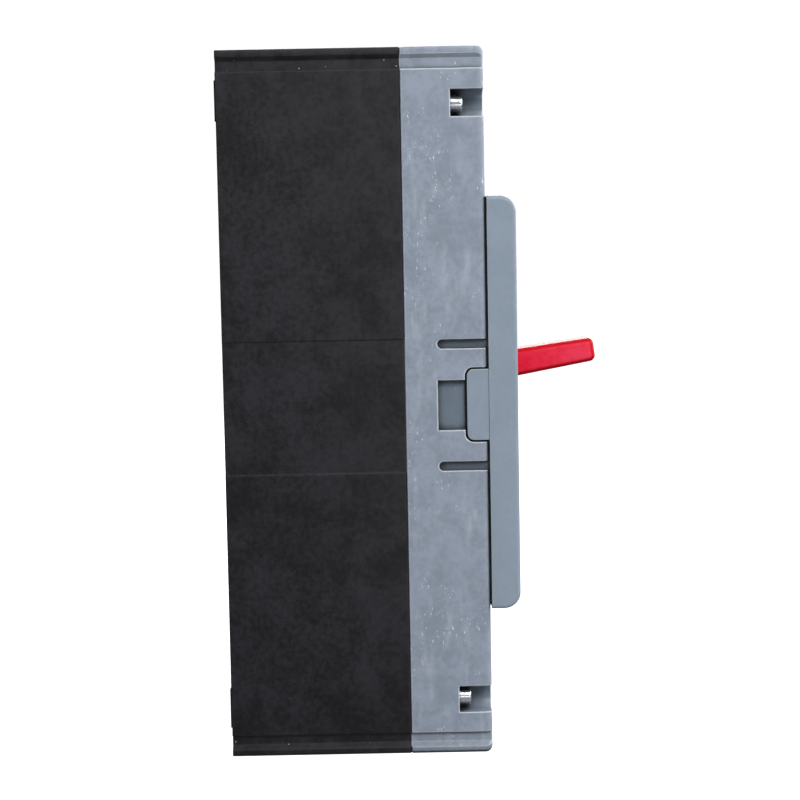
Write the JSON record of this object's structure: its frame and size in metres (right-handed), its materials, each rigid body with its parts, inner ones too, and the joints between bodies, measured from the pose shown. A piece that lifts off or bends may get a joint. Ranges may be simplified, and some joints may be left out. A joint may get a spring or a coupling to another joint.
{
  "type": "molded case circuit breaker",
  "caption": "Molded case power breaker: black base, grey cover and accessory cover, red toggle handle, bolted terminals in open bays at both ends.",
  "frame": {"origin": "centre of the four fixing holes, on the plane of the rear pads that rests on the panel", "axes": "+Z along the height towards the line terminals, -Y out of the front face towards the handle, +X along the width; the handle is in the closed position, towards +Z"},
  "size_m": [0.15, 0.1433, 0.257],
  "materials": {
    "black_moulding": "satin thermoset moulding, faintly speckled",
    "grey_moulding": "satin thermoset moulding, faintly mottled",
    "grey_fascia": "satin moulded",
    "grey_shutter": "satin moulded",
    "red_moulding": "semi-gloss moulded",
    "red_button": "gloss moulded",
    "bright_zinc": "bright zinc plate",
    "plated_steel": "passivated zinc plate",
    "spring_steel": "drawn wire",
    "brass": "machined",
    "silvered_copper": "dull silver plate",
    "copper": "bare copper, lightly tarnished",
    "silver_alloy": "sintered contact tip",
    "bare_steel": "oiled pressed steel",
    "fibre_board": "vulcanised fibre",
    "shaft_moulding": "brown moulded",
    "label_film": "satin printed film",
    "rear_card": "black card"
  },
  "bodies": {
    "root": {"base": "black_moulding", "main_cover": "grey_moulding", "accessory_cover": "grey_fascia", "cover_screws": "bright_zinc", "cover_screw_washers": "bright_zinc", "threaded_inserts": "brass", "accessory_cover_screws": "bright_zinc", "rear_plate": "rear_card", "mechanism_screws": "bright_zinc", "side_plate_left": "plated_steel", "side_plate_right": "plated_steel", "mechanism_pins": "bare_steel", "cradle": "bare_steel", "link_pin": "bare_steel", "main_springs": "spring_steel", "fixed_contacts": "silver_alloy", "arc_runners": "bare_steel", "strap_screws": "bright_zinc", "bimetals": "bare_steel", "adjusting_screws": "brass", "magnet_yokes": "bare_steel", "braids": "copper", "armature_springs": "spring_steel", "button_spring": "spring_steel", "arc_chute_boards": "fibre_board", "end_baffles": "fibre_board", "line_terminal_bolts": "bright_zinc", "load_terminal_bolts": "bright_zinc", "terminal_washers": "bright_zinc", "terminal_lock_washers": "spring_steel", "terminal_nuts": "bright_zinc", "rating_label": "label_film", "line_strap_a": "silvered_copper", "load_strap_a": "silvered_copper", "arc_splitters_a": "bare_steel", "line_strap_b": "silvered_copper", "load_strap_b": "silvered_copper", "arc_splitters_b": "bare_steel", "line_strap_c": "silvered_copper", "load_strap_c": "silvered_copper", "arc_splitters_c": "bare_steel"},
    "operating_lever": {"handle_lever": "plated_steel", "handle": "red_moulding"},
    "moving_contact_shaft": {"contact_shaft": "shaft_moulding", "shaft_pins": "bare_steel", "moving_contacts": "silver_alloy", "contact_arm_a": "copper", "contact_arm_b": "copper", "contact_arm_c": "copper"},
    "upper_link": {"upper_links": "bare_steel", "knee_pin": "bare_steel"},
    "lower_link": {"lower_links": "bare_steel"},
    "shutter": {"handle_shutter": "grey_shutter"},
    "button": {"trip_button": "red_button"},
    "release_bar": {"trip_bar": "shaft_moulding"},
    "cradle_latch": {"latch": "bare_steel"},
    "armature_left": {"armature_a": "bare_steel"},
    "armature_centre": {"armature_b": "bare_steel"},
    "armature_right": {"armature_c": "bare_steel"}
  },
  "joints": [
    {"name": "handle_swing", "type": "hinge", "parent": "root", "child": "operating_lever", "pos_m": [0, -0.03, 0], "axis": [1, 0, 0], "range_deg": [0, 23.6], "deforming": ["main_springs"]},
    {"name": "contact_shaft_turn", "type": "hinge", "parent": "root", "child": "moving_contact_shaft", "pos_m": [0, -0.036, -0.016], "axis": [1, 0, 0], "range_deg": [0, 28.1]},
    {"name": "upper_link_turn", "type": "hinge", "parent": "root", "child": "upper_link", "pos_m": [0, -0.076, 0], "axis": [1, 0, 0], "range_deg": [-22.2, 0]},
    {"name": "lower_link_turn", "type": "hinge", "parent": "upper_link", "child": "lower_link", "pos_m": [0, -0.06259, -0.00872], "axis": [1, 0, 0], "range_deg": [0, 16.8]},
    {"name": "shutter_slide", "type": "slide", "parent": "root", "child": "shutter", "axis": [0, 0, -1], "range_m": [0, 0.031]},
    {"name": "trip_button_push", "type": "slide", "parent": "root", "child": "button", "axis": [0, 1, 0], "range_m": [0, 0.003], "stiffness_N_per_m": 400, "springref_m": -0.002, "deforming": ["button_spring"]},
    {"name": "trip_bar_turn", "type": "hinge", "parent": "root", "child": "release_bar", "pos_m": [0, -0.0615, -0.034], "axis": [1, 0, 0], "range_deg": [0, 14.4]},
    {"name": "latch_turn", "type": "hinge", "parent": "root", "child": "cradle_latch", "pos_m": [0, -0.055, -0.0235], "axis": [1, 0, 0], "range_deg": [0, 6.1]},
    {"name": "armature_left_turn", "type": "hinge", "parent": "root", "child": "armature_left", "pos_m": [-0.048, -0.048, -0.0445], "axis": [-1, 0, 0], "range_deg": [0, 6], "stiffness_Nm_per_rad": 0.2, "springref_deg": -8.59, "deforming": ["armature_springs"]},
    {"name": "armature_centre_turn", "type": "hinge", "parent": "root", "child": "armature_centre", "pos_m": [0, -0.048, -0.0445], "axis": [-1, 0, 0], "range_deg": [0, 6], "stiffness_Nm_per_rad": 0.2, "springref_deg": -8.59},
    {"name": "armature_right_turn", "type": "hinge", "parent": "root", "child": "armature_right", "pos_m": [0.048, -0.048, -0.0445], "axis": [-1, 0, 0], "range_deg": [0, 6], "stiffness_Nm_per_rad": 0.2, "springref_deg": -8.59}
  ],
  "couplings": [
    {"joint": "contact_shaft_turn", "follows": "handle_swing", "ratio": 1.1864},
    {"joint": "upper_link_turn", "follows": "handle_swing", "ratio": -0.93686},
    {"joint": "lower_link_turn", "follows": "handle_swing", "ratio": 0.70847},
    {"joint": "shutter_slide", "follows": "handle_swing", "m_per_rad": 0.07473},
    {"joint": "trip_bar_turn", "follows": "trip_button_push", "rad_per_m": 83.2},
    {"joint": "latch_turn", "follows": "trip_button_push", "rad_per_m": 34.9}
  ]
}
